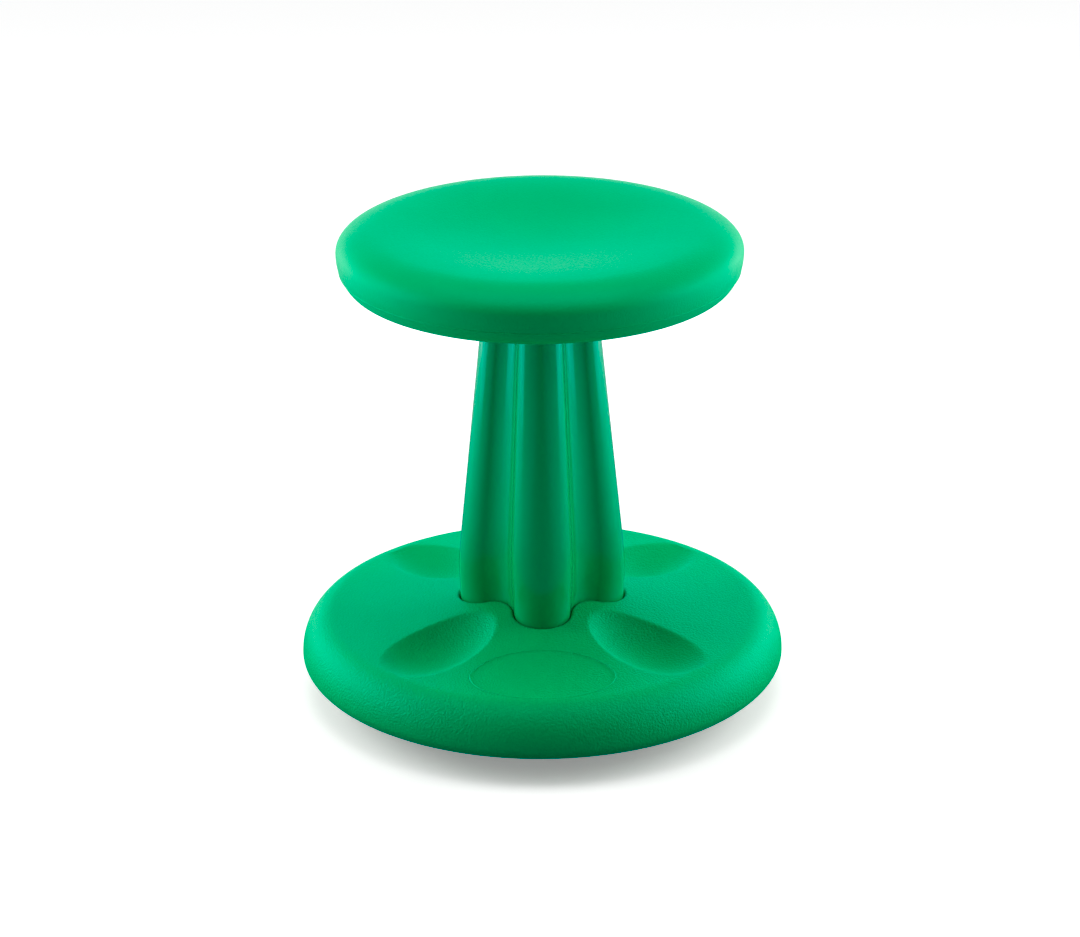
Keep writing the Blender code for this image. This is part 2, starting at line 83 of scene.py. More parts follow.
# Scoops
SCOOP_MIDDLE = 0.1052
SCOOP_HALF_LENGTH = 0.0508
SCOOP_HALF_WIDTH = 0.0300
SCOOP_DEPTH = 0.0108
SCOOP_SPREAD = 0.08  # how much wider it gets towards the rim
SCOOP_EDGE = 0.10  # share of the scoop taken by its rounded lip

# Oval panel
PANEL_MIDDLE = 0.1210
PANEL_HALF_WIDTH = 0.0515
PANEL_HALF_LENGTH = 0.0335
PANEL_DEPTH = 0.0004
PANEL_EDGE = 0.0020  # width of its sloping edge
BEAD_RADIUS = 0.0008  # the raised line round the panel
BEAD_SUNK = 0.0002  # how far its middle lies below the foot's top
BEAD_FADE = 0.0004  # how much deeper still it lies at the panel's front and back

# Sole ring
SOLE_PROUD = 0.0008  # how far the rubber stands below the foot's own underside
SOLE_THICKNESS = 0.0030
SOLE_HOLE = 0.0245
SOLE_EDGE = 0.0006  # bevel of its edges
SOLE_PITCH = 0.0040  # from groove to groove
SOLE_GROOVE_DEPTH = 0.0008
SOLE_GROOVE_MOUTH = 0.0009  # half of the groove's width
SOLE_GROOVE_FLOOR = 0.0005

# Cap
CAP_WALL = 0.0022
CAP_FILLET = 0.0010
CAP_TOP_EDGE = 0.0006
CAP_FACE_EDGE = 0.0012
CAP_DIMPLE_MOUTH = 0.0150
CAP_DIMPLE_FLOOR = 0.0135
CAP_DIMPLE_DEPTH = 0.0006
CAP_MIDDLE = 0.0015  # radius of the small ring round its middle

# Column and sockets
LOBES = 4  # and as many scoops
# Section over the tip radius: a lobe's rounding at its tip, at its shoulders, and the groove's bottom
SEAM_SECTION = (0.34, 0.34, 0.63)
SHAFT_SECTION = (0.46, 0.28, 0.68)
SHOULDER_TURN = math.radians(30)  # where the tip's arc meets the shoulder's
SHAFT_START_Z = 0.1300  # the section is the shaft's from here up
COLUMN_SEAM_Z = 0.0694
COLUMN_WIDEST_Z = 0.0970
COLUMN_SEAM_TIP = 0.0605
COLUMN_WIDEST_TIP = COLUMN_HIGH[0]
COLUMN_DRAFT = 0.1022  # loss of tip radius per metre of height above the widest point
COLUMN_WALL = 0.0036
COLUMN_BORE = 0.0095
COLUMN_END_ROUND = 0.0012
COLUMN_BELOW_SEAM = 0.004  # how far down in the foot's socket its closer rings start
COLUMN_CORNER = 0.010  # how far above and below the widest point its corner is rounded off
COLUMN_CLOSE_RINGS = 0.012  # how far above the widest point the closer rings end
COLUMN_RING_STEP = 0.002  # from the closer rings to the first of the others
SOCKET_GAP = 0.0007
SOCKET_LIP = 0.0024  # rounding of a socket at its mouth

# Seat
SEAT_WIDEST_Z = 0.3385
SEAT_CREST_IN = 0.0300  # how far the crest of the rim lies in from the widest circle
SEAT_DISH_DEPTH = 0.0085
SEAT_RIM_BOTTOM_Z = 0.3150
SEAT_LOWER_ROUND = 0.0125
SEAT_BELLY_Z = 0.3070
SEAT_BELLY_RADIUS = 0.0500
SEAT_BELLY_SPAN = (0.128, 0.062)  # radii of the underside's first and last rings
SEAT_SOCKET_ROOF_Z = 0.3300
SEAT_WALL = 0.0038
SEAT_INSERT_HOLE = 0.0079
SEAT_ROOF_RADIUS = 0.020  # of the ring that divides the socket's roof
SEAT_MIDDLE = 0.002  # radius of the small ring round its middle
PARTING_Z = 0.3255
PARTING_STEP = 0.0003  # how much narrower the rim is below the parting line
PARTING_PROUD = 0.0004  # the flash that stands out along the parting line
PARTING_HALF_HEIGHT = 0.0006
PARTING_TURNS = (30, 37)  # degrees of the lower rounding between which the flash lies

# ---------------------------------------------------------------- fineness

# Points on each half of a lobe: 480 round a ring
TIP_POINTS = 13
SHOULDER_POINTS = 25
GROOVE_POINTS = 25

# Points along each stretch of a section
FOOT_TOP_POINTS = 120
FOOT_LIP_POINTS = 8
FOOT_RIM_POINTS = 28
FOOT_LOWER_POINTS = 16
UNDERSIDE_POINTS = 12
SOLE_BACK_POINTS = 24
COLUMN_LOW_POINTS = 16
COLUMN_HIGH_POINTS = 60
COLUMN_INNER_POINTS = 8
CORNER_POINTS = 9
SEAT_DISH_POINTS = 46
SEAT_RIM_POINTS = 30
SEAT_LOWER_POINTS = (12, 20, 20)  # above the parting line's flash, on it, and below it
SEAT_BELLY_POINTS = 14
SEAT_LIP_POINTS = 6
SEAT_INNER_STEP = 5  # the unseen inner skin keeps one ring in this many
BEAD_LENGTH_POINTS = 241
BEAD_ROUND_POINTS = 13

# ---------------------------------------------------------------- colours

GREEN = (0.001, 0.400, 0.098)
GREEN_DEEP = (0.001, 0.375, 0.088)
GLOSSY_GREEN = (0.001, 0.330, 0.085)
GLOSSY_GREEN_DEEP = (0.001, 0.310, 0.078)
GREEN_SHINE = (0.25, 1.0, 1.0, 1.0)  # tint of the plastic's reflections
BLACK = (0.020, 0.020, 0.021)
BLACK_WORN = (0.032, 0.032, 0.033)
ZINC_GREY = (0.60, 0.61, 0.63)
ZINC_PALE = (0.70, 0.70, 0.69)

# ---------------------------------------------------------------- surfaces

NOISE_LOW = 0.3  # nearly all of a noise lies between these two
NOISE_HIGH = 0.7
GRAIN_DRIFT = 0.05  # how far the grain takes the plastic's roughness up and down

SEAT_SURFACE = {"shade": 1.0, "roughness": 0.46, "grain_scale": 700.0, "grain_height": 0.00040}
FOOT_SURFACE = {"shade": 0.95, "roughness": 0.48, "grain_scale": 600.0, "grain_height": 0.00125}

# ---------------------------------------------------------------- studio

RED_BLACK_LEVEL = 0.16
RED_LEFT = 1 - RED_BLACK_LEVEL  # the red that keeps a grey neutral above that black level
BACKDROP = (0.98, 0.98, 0.98, 1.0)

FLOOR_RADIUS = 7.0
FLOOR_DROP = 0.0002  # keeps the floor out of the sole's own plane
FLOOR_CORNERS = 96
FLOOR_WHITE = 0.93
FLOOR_GLOW = 0.25  # lifts the shadows that the camera sees on the floor
FLOOR_FADE = (0.8, 2.5)  # distances over which the floor turns into the backdrop
BOUNCE_SPAN = (0.20, 0.60)  # distances aside over which the floor's bounce gets lighter
BOUNCE_GREYS = (0.30, 0.65)

# Directions are parts of a length of 1: +Y is behind the stool and +Z is up
SWEEP_LIGHT = 2.63
SWEEP_BEHIND = (0.3, 0.8)
SWEEP_TOP = (0.2, 0.6)
CEILING_LIGHT = 0.43
CEILING_UP = (0.3, 0.8)

# Softboxes: place on the right-hand side, width and height, power in watts
LIGHTS_AIM = Vector((0.0, 0.0, 0.20))
TOP_PLACE = Vector((0.0, 0.2, 2.6))
TOP_SIZE = (2.2, 2.0)
TOP_LIGHT = 26.2
FRONT_SIDE_PLACE = Vector((2.0, -0.45, 0.75))
HIGH_SIDE_PLACE = Vector((2.0, 0.30, 1.30))
SIDE_SIZE = (1.2, 1.4)
FRONT_SIDE_LIGHT = 10.9
HIGH_SIDE_LIGHT = 19.7
BACK_PLACE = Vector((1.6, 1.40, 0.80))
BACK_SIZE = (1.0, 1.2)
BACK_LIGHT = 6.8
STRIP_PLACE = Vector((0.80, 0.45, 0.22))
STRIP_SIZE = (0.7, 0.42)
STRIP_LIGHT = 1.60
FRONT_STRIP_PLACE = Vector((0.85, -0.05, 0.22))
FRONT_STRIP_SIZE = (0.5, 0.42)
FRONT_STRIP_LIGHT = 1.25

# ---------------------------------------------------------------- camera

CAMERA_DISTANCE = 2.566
CAMERA_ELEVATION = math.radians(22.22)
CAMERA_AIM = Vector((-0.0009, 0.0, 0.1691))
CAMERA_ROLL = 0.0069
CAMERA_LENS = 117.1


def make_camera():
    cosine = math.cos(CAMERA_ELEVATION)
    sine = math.sin(CAMERA_ELEVATION)
    back = Vector((0.0, -cosine, sine))
    right = Vector((1.0, 0.0, 0.0))
    up = Vector((0.0, sine, cosine))
    rolled_right = right * math.cos(CAMERA_ROLL) - up * math.sin(CAMERA_ROLL)
    rolled_up = right * math.sin(CAMERA_ROLL) + up * math.cos(CAMERA_ROLL)
    place = CAMERA_AIM + back * CAMERA_DISTANCE
    data = bpy.data.cameras.new("camera")
    data.lens = CAMERA_LENS
    data.sensor_width = 36.0
    data.clip_start = 0.05
    camera = bpy.data.objects.new("camera", data)
    turn = Matrix((rolled_right, rolled_up, back)).transposed().to_4x4()
    camera.matrix_world = Matrix.Translation(place) @ turn
    bpy.context.scene.collection.objects.link(camera)
    bpy.context.scene.camera = camera


# ---------------------------------------------------------------- mesh helpers


def ring_faces(ring_count, count, closed):
    """Four-sided faces between each ring and the next."""
    spans = list(zip(range(ring_count), range(1, ring_count)))
    if closed:
        spans.append((ring_count - 1, 0))
    faces = []
    for low, high in spans:
        for i in range(count):
            j = (i + 1) % count
            faces.append((low * count + i, low * count + j, high * count + j, high * count + i))
    return faces


def ring_mesh(name, rings, pole_first=False, pole_last=False, closed=False, crease_degrees=40):
    """A smooth skin over rings of equally many points. A pole is one point that closes an end."""
    count = len(rings[0])
    points = [point for ring in rings for point in ring]
    faces = ring_faces(len(rings), count, closed)
    if pole_first:
        points.append(tuple(np.mean(rings[0], axis=0)))
        faces += [((i + 1) % count, i, len(points) - 1) for i in range(count)]
    if pole_last:
        points.append(tuple(np.mean(rings[-1], axis=0)))
        start = (len(rings) - 1) * count
        faces += [(start + i, start + (i + 1) % count, len(points) - 1) for i in range(count)]
    data = bpy.data.meshes.new(name)
    data.from_pydata([tuple(map(float, point)) for point in points], [], faces)
    data.update()
    data.shade_smooth()
    data.set_sharp_from_angle(angle=math.radians(crease_degrees))
    obj = bpy.data.objects.new(name, data)
    bpy.context.scene.collection.objects.link(obj)
    return obj


def spaced(start, end, count):
    return list(np.linspace(start, end, count))


def arc(centre, half_axes, start_degrees, end_degrees, count):
    """Points (radius, height) along an ellipse, angles measured from +radius towards +height."""
    found = []
    for degrees in spaced(start_degrees, end_degrees, count):
        angle = math.radians(degrees)
        radius = centre[0] + half_axes[0] * math.cos(angle)
        height = centre[1] + half_axes[1] * math.sin(angle)
        found.append((radius, height))
    return found


def eased(share):
    """A share from 0 to 1 with a soft start and a soft end."""
    return share**2 * (3 - 2 * share)


# ---------------------------------------------------------------- the four-lobed section


def on_circle(middle, radius, angle):
    return (middle[0] + radius * math.cos(angle), middle[1] + radius * math.sin(angle))


def half_lobe(section):
    """Points from a lobe's tip, which faces +X, over its shoulder to the bottom of the groove beside it."""
    tip_round, shoulder_round, groove_bottom = section
    half_turn = math.pi / LOBES
    tip_at = (1 - tip_round, 0.0)
    shoulder_at = on_circle(tip_at, tip_round - shoulder_round, SHOULDER_TURN)
    # The groove's arc is centred halfway between two lobes, where it just touches the shoulder's
    reach = math.hypot(*shoulder_at)
    towards = math.cos(half_turn - math.atan2(shoulder_at[1], shoulder_at[0])) * reach
    difference = shoulder_round - groove_bottom
    groove_distance = (reach**2 - difference**2) / (2 * (towards + difference))
    groove_at = on_circle((0.0, 0.0), groove_distance, half_turn)
    groove_round = groove_distance - groove_bottom
    end_turn = math.atan2(groove_at[1] - shoulder_at[1], groove_at[0] - shoulder_at[0])
    points = [on_circle(tip_at, tip_round, turn) for turn in spaced(0, SHOULDER_TURN, TIP_POINTS)]
    turns = spaced(SHOULDER_TURN, end_turn, SHOULDER_POINTS)
    points += [on_circle(shoulder_at, shoulder_round, turn) for turn in turns[1:]]
    turns = spaced(end_turn + math.pi, half_turn + math.pi, GROOVE_POINTS)
    points += [on_circle(groove_at, groove_round, turn) for turn in turns[1:]]
    return points


def lobed_outline(section):
    """One closed outline of lobes joined by round grooves, all arcs tangent, with its tips at radius 1."""
    half = half_lobe(section)
    lobe = [(x, -y) for x, y in half[:0:-1]] + half[:-1]
    outline = []
    for k in range(LOBES):
        facing = (2 * k / LOBES - 0.5) * math.pi
        cosine = math.cos(facing)
        sine = math.sin(facing)
        outline += [(x * cosine - y * sine, x * sine + y * cosine) for x, y in lobe]
    return np.array(outline)


SEAM_OUTLINE = lobed_outline(SEAM_SECTION)
SHAFT_OUTLINE = lobed_outline(SHAFT_SECTION)
FACINGS = SEAM_OUTLINE / np.hypot(SEAM_OUTLINE[:, 0], SEAM_OUTLINE[:, 1])[:, None]


def outline_at(height):
    """The section's outline at a height, changing softly from the seam's to the shaft's."""
    share = (height - COLUMN_SEAM_Z) / (SHAFT_START_Z - COLUMN_SEAM_Z)
    share = eased(min(1.0, max(0.0, share)))
    return SEAM_OUTLINE * (1 - share) + SHAFT_OUTLINE * share


def lobed_ring(tip, height, grow=0.0):
    """The column's section at a height, moved out along its own normals by grow."""
    outline = outline_at(height)
    along = np.roll(outline, -1, axis=0) - np.roll(outline, 1, axis=0)
    lengths = np.hypot(along[:, 0], along[:, 1])[:, None]
    outward = np.stack([along[:, 1], -along[:, 0]], axis=1) / lengths
    flat = outline * tip + outward * grow
    return np.column_stack([flat, np.full(len(flat), height)])


def round_ring(radius, height):
    flat = FACINGS * radius
    return np.column_stack([flat, np.full(len(flat), height)])


def round_rings(profile):
    return [round_ring(radius, height) for radius, height in profile]


def column_tip(height):
    """Radius out to the tip of a lobe: the draft above the widest point, a straight lead-in below it."""
    above = COLUMN_WIDEST_TIP - COLUMN_DRAFT * (height - COLUMN_WIDEST_Z)
    if height > COLUMN_WIDEST_Z:
        return above
    share = (COLUMN_WIDEST_Z - height) / (COLUMN_WIDEST_Z - COLUMN_SEAM_Z)
    return COLUMN_WIDEST_TIP - (COLUMN_WIDEST_TIP - COLUMN_SEAM_TIP) * share


# ---------------------------------------------------------------- foot


def ball_rise(radius):
    return ROCKER_RADIUS - math.sqrt(ROCKER_RADIUS**2 - radius**2)


def rocker_z(radius):
    """Height of the curved underside, which is flat in the middle."""
    return max(0.0, ball_rise(radius) - ball_rise(REST_FLAT_RADIUS))


def flare_z(radius):
    """Height of the foot's top between the rim and the column."""
    inward = FOOT_RADIUS - FOOT_RIM_ROUND - radius
    return FOOT_RIM_TOP_Z + FLARE_SLOPE * inward + FLARE_BEND * inward**2


def rounded_ramp(inside, half_width):
    """0 outside, rising in proportion inside, with a rounded corner between the two."""
    corner = (inside + half_width) ** 2 / (4 * half_width)
    return np.where(inside < -half_width, 0.0, np.where(inside > half_width, inside, corner))


def scoop_drop(x, y):
    """How far the four scoops lower the foot's top at a place."""
    drop = np.zeros_like(x)
    for k in range(LOBES):
        angle = math.pi / LOBES * (2 * k + 1)
        along = x * math.cos(angle) + y * math.sin(angle) - SCOOP_MIDDLE
        across = y * math.cos(angle) - x * math.sin(angle)
        half_width = SCOOP_HALF_WIDTH * (1 + SCOOP_SPREAD * along / SCOOP_HALF_LENGTH)
        inside = 1 - (along / SCOOP_HALF_LENGTH) ** 2 - (across / half_width) ** 2
        drop += SCOOP_DEPTH * rounded_ramp(inside, SCOOP_EDGE)
    return drop


def panel_drop(x, y):
    """How far the oval panel lies below the foot's top at a place."""
    reach = np.hypot(x / PANEL_HALF_WIDTH, (y + PANEL_MIDDLE) / PANEL_HALF_LENGTH)
    inside = (1 - reach) * PANEL_HALF_LENGTH / PANEL_EDGE
    return PANEL_DEPTH * eased(np.clip(inside, 0.0, 1.0))


def foot_lip_rings():
    """Rings up the socket's wall and round its lip."""
    rings = [lobed_ring(COLUMN_SEAM_TIP, FOOT_SOCKET_FLOOR_Z, SOCKET_GAP)]
    for turn in spaced(180, 90, FOOT_LIP_POINTS):
        angle = math.radians(turn)
        grow = SOCKET_GAP + SOCKET_LIP * (1 + math.cos(angle))
        ring = lobed_ring(COLUMN_SEAM_TIP, COLUMN_SEAM_Z, grow)
        reach = np.hypot(ring[:, 0], ring[:, 1])
        drop = scoop_drop(ring[:, 0], ring[:, 1])
        ring[:, 2] = flare_z(reach) - drop - SOCKET_LIP * (1 - math.sin(angle))
        rings.append(ring)
    return rings


def foot_top_rings():
    """Rings from the rounded lip of the socket out to the rim, with the scoops and the panel in them."""
    rings = []
    mouth = lobed_ring(COLUMN_SEAM_TIP, COLUMN_SEAM_Z, SOCKET_GAP + SOCKET_LIP)[:, :2]
    rim = FACINGS * (FOOT_RADIUS - FOOT_RIM_ROUND)
    for share in spaced(0.0, 1.0, FOOT_TOP_POINTS)[1:-1]:
        flat = mouth * (1 - share) + rim * share
        x = flat[:, 0]
        y = flat[:, 1]
        height = flare_z(np.hypot(x, y)) - scoop_drop(x, y) - panel_drop(x, y)
        rings.append(np.column_stack([flat, height]))
    return rings


def foot_rim_profile():
    """The rim's rounding, from the foot's top to the curved underside."""
    rim_at = FOOT_RADIUS - FOOT_RIM_ROUND
    lower_at = FOOT_RADIUS - FOOT_LOWER_ROUND
    rim_axes = (FOOT_RIM_ROUND, FOOT_RIM_TOP_Z - FOOT_WIDEST_Z)
    lower_axes = (FOOT_LOWER_ROUND, FOOT_LOWER_DROP)
    upper = arc((rim_at, FOOT_WIDEST_Z), rim_axes, 90, 0, FOOT_RIM_POINTS)
    lower = arc((lower_at, FOOT_WIDEST_Z), lower_axes, 0, -FOOT_LOWER_TURN, FOOT_LOWER_POINTS)
    return upper + lower[1:]


def foot_underside_profile():
    """The underside from its edge, over the rebate for the sole ring, into the bolt's recess."""
    sole_edge = SOLE_RADIUS + FIT_GAP
    rebate = SOLE_THICKNESS + FIT_GAP
    outer = spaced(ROCKER_EDGE, sole_edge, UNDERSIDE_POINTS)
    inner = (sole_edge, *spaced(REBATE_RADIUS, REST_FLAT_RADIUS, UNDERSIDE_POINTS), RECESS_RADIUS)
    profile = [(radius, rocker_z(radius) + SOLE_PROUD) for radius in outer]
    profile += [(radius, rocker_z(radius) + rebate) for radius in inner]
    return profile + [(RECESS_RADIUS, RECESS_ROOF_Z), (BOLT_HOLE_RADIUS, RECESS_ROOF_Z)]


def foot():
    floor_radii = (BOLT_HOLE_RADIUS, *SOCKET_FLOOR_RADII)
    rings = [round_ring(radius, FOOT_SOCKET_FLOOR_Z) for radius in floor_radii]
    rings += foot_lip_rings() + foot_top_rings()
    rings += round_rings(foot_rim_profile() + foot_underside_profile())
    return ring_mesh("foot_surface", rings, closed=True)


def panel_bead():
    """The fine raised line that frames the oval panel."""
    rings = []
    for turn in spaced(2 * math.pi, 0, BEAD_LENGTH_POINTS)[:-1]:
        across = math.cos(turn)
        along = math.sin(turn)
        x = PANEL_HALF_WIDTH * across
        y = PANEL_HALF_LENGTH * along - PANEL_MIDDLE
        outward = Vector((across / PANEL_HALF_WIDTH, along / PANEL_HALF_LENGTH, 0.0)).normalized()
        drop = float(scoop_drop(np.array(x), np.array(y)))
        sunk = BEAD_SUNK + BEAD_FADE * along**2
        middle = Vector((x, y, flare_z(math.hypot(x, y)) - drop - sunk))
        ring = []
        for angle in spaced(0, 2 * math.pi, BEAD_ROUND_POINTS)[:-1]:
            facing = outward * math.cos(angle) + Vector((0, 0, math.sin(angle)))
            ring.append(middle + BEAD_RADIUS * facing)
        rings.append(ring)
    return ring_mesh("panel_line", rings, closed=True)


# ---------------------------------------------------------------- seat


def dish_z(radius):
    share = radius / (SEAT_RADIUS - SEAT_CREST_IN)
    return STOOL_HEIGHT - SEAT_DISH_DEPTH * (1 - share**2) ** 2


def belly_z(radius):
    """Height of the seat's underside, which drops smoothly from the rim towards the column."""
    edge = SEAT_RADIUS - SEAT_LOWER_ROUND
    share = eased(min(1.0, (edge - radius) / (edge - SEAT_BELLY_RADIUS)))
    return SEAT_RIM_BOTTOM_Z - (SEAT_RIM_BOTTOM_Z - SEAT_BELLY_Z) * share


def parting_step(height):
    """How far the lower half of the seat's rim is drawn in, and less where the line of flash is."""
    below = (PARTING_Z - height) / PARTING_HALF_HEIGHT
    flash = PARTING_PROUD * max(0.0, 1 - below**2)
    return PARTING_STEP * min(1.0, max(0.0, below)) - flash


def seat_lower_profile(inset):
    """The rim's lower rounding, with its points gathered at the parting line."""
    lower_at = SEAT_RADIUS - SEAT_LOWER_ROUND
    axes = (SEAT_LOWER_ROUND - inset, SEAT_WIDEST_Z - SEAT_RIM_BOTTOM_Z - inset)
    turns = (0, *(-turn for turn in PARTING_TURNS), -90)
    lower = []
    for start, end, count in zip(turns, turns[1:], SEAT_LOWER_POINTS):
        lower += arc((lower_at, SEAT_WIDEST_Z), axes, start, end, count)[1:]
    return lower


def seat_skin(inset):
    """The seat's section from its middle at the top, over the rim, to the underside at the socket."""
    crest_at = SEAT_RADIUS - SEAT_CREST_IN
    dish = spaced(SEAT_MIDDLE, crest_at, SEAT_DISH_POINTS)[:-1]
    upper_axes = (SEAT_CREST_IN - inset, STOOL_HEIGHT - SEAT_WIDEST_Z - inset)
    lower = seat_lower_profile(inset)
    if inset == 0:
        lower = [(radius - parting_step(height), height) for radius, height in lower]
    belly = spaced(*SEAT_BELLY_SPAN, SEAT_BELLY_POINTS)
    profile = [(radius, dish_z(radius) - inset) for radius in dish]
    profile += arc((crest_at, SEAT_WIDEST_Z), upper_axes, 90, 0, SEAT_RIM_POINTS)
    profile += lower
    profile += [(radius, belly_z(radius) + inset) for radius in belly]
    return profile


def seat_socket_rings():
    """Rings round the lip of the seat's socket, up its wall, through its roof and down behind it."""
    belly_tip = column_tip(SEAT_BELLY_Z)
    roof_tip = column_tip(SEAT_SOCKET_ROOF_Z)
    roof_top = SEAT_SOCKET_ROOF_Z + SEAT_WALL
    behind = SOCKET_GAP + SEAT_WALL
    rings = []
    for turn in spaced(90, 180, SEAT_LIP_POINTS):
        angle = math.radians(turn)
        grow = SOCKET_GAP + SOCKET_LIP * (1 + math.cos(angle))
        height = SEAT_BELLY_Z + SOCKET_LIP * (1 - math.sin(angle))
        rings.append(lobed_ring(belly_tip, height, grow))
    rings.append(lobed_ring(roof_tip, SEAT_SOCKET_ROOF_Z, SOCKET_GAP))
    rings.append(round_ring(SEAT_ROOF_RADIUS, SEAT_SOCKET_ROOF_Z))
    rings.append(round_ring(SEAT_INSERT_HOLE, SEAT_SOCKET_ROOF_Z))
    rings.append(round_ring(SEAT_INSERT_HOLE, roof_top))
    rings.append(round_ring(SEAT_ROOF_RADIUS, roof_top))
    rings.append(lobed_ring(roof_tip, roof_top, behind))
    rings.append(lobed_ring(belly_tip, SEAT_BELLY_Z + SEAT_WALL, behind))
    return rings


def seat():
    outer = round_rings(seat_skin(0.0))
    inner = round_rings(seat_skin(SEAT_WALL)[::SEAT_INNER_STEP])
    rings = outer + seat_socket_rings() + inner[::-1]
    return ring_mesh("seat_surface", rings[::-1], pole_first=True, pole_last=True)


# ---------------------------------------------------------------- column


def smooth_tip(height):
    """The tip radius with the corner at the widest point rounded off."""
    offsets = spaced(-COLUMN_CORNER, COLUMN_CORNER, CORNER_POINTS)
    return sum(column_tip(height + offset) for offset in offsets) / len(offsets)


def column():
    low = COLUMN_LOW[2]
    high = COLUMN_HIGH[2]
    low_end = COLUMN_WIDEST_Z + COLUMN_CLOSE_RINGS
    heights = spaced(COLUMN_SEAM_Z - COLUMN_BELOW_SEAM, low_end, COLUMN_LOW_POINTS)
    heights += spaced(low_end + COLUMN_RING_STEP, high - COLUMN_END_ROUND, COLUMN_HIGH_POINTS)
    outer = [round_ring(COLUMN_BORE, low)]
    outer.append(lobed_ring(column_tip(low), low, -COLUMN_END_ROUND))
    outer.append(lobed_ring(column_tip(low), low + COLUMN_END_ROUND))
    outer += [lobed_ring(smooth_tip(height), height) for height in heights]
    outer.append(lobed_ring(column_tip(high), high, -COLUMN_END_ROUND))
    outer.append(round_ring(COLUMN_BORE, high))
    inner_low = low + COLUMN_WALL
    inner_high = high - COLUMN_WALL
    inner = [round_ring(COLUMN_BORE, inner_high)]
    for height in spaced(inner_high, inner_low, COLUMN_INNER_POINTS):
        inner.append(lobed_ring(column_tip(height), height, -COLUMN_WALL))
    inner.append(round_ring(COLUMN_BORE, inner_low))
    return ring_mesh("column_surface", outer + inner, closed=True)


# ---------------------------------------------------------------- underside pieces


def sole_edge_profile():
    """The sole's back and its bevelled outer edge."""
    edge_z = rocker_z(SOLE_RADIUS)
    inside = SOLE_RADIUS - SOLE_EDGE
    back = spaced(SOLE_HOLE, inside, SOLE_BACK_POINTS)
    profile = [(radius, rocker_z(radius) + SOLE_THICKNESS) for radius in back]
    profile.append((SOLE_RADIUS, edge_z + SOLE_THICKNESS - SOLE_EDGE))
    profile.append((SOLE_RADIUS, edge_z + SOLE_EDGE))
    profile.append((inside, edge_z))
    return profile


def sole_groove_profile():
    """The grooves in the part of the sole that lifts off the floor."""
    profile = []
    grooves = int((SOLE_RADIUS - REST_FLAT_RADIUS - SOLE_PITCH) / SOLE_PITCH)
    for k in range(grooves):
        middle = SOLE_RADIUS - SOLE_PITCH * (k + 1)
        for offset, depth in (
            (SOLE_GROOVE_MOUTH, 0.0),
            (SOLE_GROOVE_FLOOR, SOLE_GROOVE_DEPTH),
            (-SOLE_GROOVE_FLOOR, SOLE_GROOVE_DEPTH),
            (-SOLE_GROOVE_MOUTH, 0.0),
        ):
            radius = middle + offset
            profile.append((radius, rocker_z(radius) + depth))
    return profile


def sole():
    """The rubber ring, finely grooved."""
    profile = sole_edge_profile() + sole_groove_profile()
    profile += [(REST_FLAT_RADIUS, 0.0), (SOLE_HOLE + SOLE_EDGE, 0.0), (SOLE_HOLE, SOLE_EDGE)]
    return ring_mesh("sole_surface", round_rings(profile), closed=True, crease_degrees=25)


def cap():
    """The plug in the bolt's recess, with a shallow round dimple in its face for a finger."""
    radius = CAP_HIGH[0]
    low = CAP_LOW[2]
    high = CAP_HIGH[2]
    skirt = radius - CAP_WALL
    web = low + CAP_WALL
    dimple_z = low + CAP_DIMPLE_DEPTH
    profile = [(CAP_MIDDLE, web), (skirt - CAP_FILLET, web), (skirt, web + CAP_FILLET), (skirt, high)]
    profile += [(radius - CAP_TOP_EDGE, high), (radius, high - CAP_TOP_EDGE)]
    profile += [(radius, low + CAP_FACE_EDGE), (radius - CAP_FACE_EDGE, low)]
    profile += [(CAP_DIMPLE_MOUTH, low), (CAP_DIMPLE_FLOOR, dimple_z), (CAP_MIDDLE, dimple_z)]
    rings = round_rings(profile)
    return ring_mesh("cap_surface", rings, pole_first=True, pole_last=True, crease_degrees=25)


# ---------------------------------------------------------------- materials


def shader_material(name, **sockets):
    """A Principled material with the given uniform values on its sockets."""
    made = bpy.data.materials.new(name)
    made.use_nodes = True
    shader = made.node_tree.nodes["Principled BSDF"]
    for socket, value in sockets.items():
        shader.inputs[socket.replace("_", " ")].default_value = value
    return made, made.node_tree, shader


def noise(tree, scale, detail, roughness=0.5):
    place = tree.nodes.new("ShaderNodeTexCoord")
    made = tree.nodes.new("ShaderNodeTexNoise")
    made.inputs["Scale"].default_value = scale
    made.inputs["Detail"].default_value = detail
    made.inputs["Roughness"].default_value = roughness
    tree.links.new(place.outputs["Object"], made.inputs["Vector"])
    return made.outputs["Fac"]


def spread(tree, source, low, high):
    """Maps a noise's middle values onto low to high."""
    made = tree.nodes.new("ShaderNodeMapRange")
    made.inputs["From Min"].default_value = NOISE_LOW
    made.inputs["From Max"].default_value = NOISE_HIGH
    made.inputs["To Min"].default_value = low
    made.inputs["To Max"].default_value = high
    tree.links.new(source, made.inputs["Value"])
    return made.outputs["Result"]


def mottle(tree, shader, first, second, scale):
    """Base colour that drifts softly between two near shades."""
    mix = tree.nodes.new("ShaderNodeMix")
    mix.data_type = "RGBA"
    mix.inputs["A"].default_value = (*first, 1.0)
    mix.inputs["B"].default_value = (*second, 1.0)
    drift = noise(tree, scale, detail=3.0)
    tree.links.new(spread(tree, drift, 0.0, 1.0), mix.inputs["Factor"])
    tree.links.new(mix.outputs["Result"], shader.inputs["Base Color"])


def vary_roughness(tree, shader, source, low, high):
    tree.links.new(spread(tree, source, low, high), shader.inputs["Roughness"])


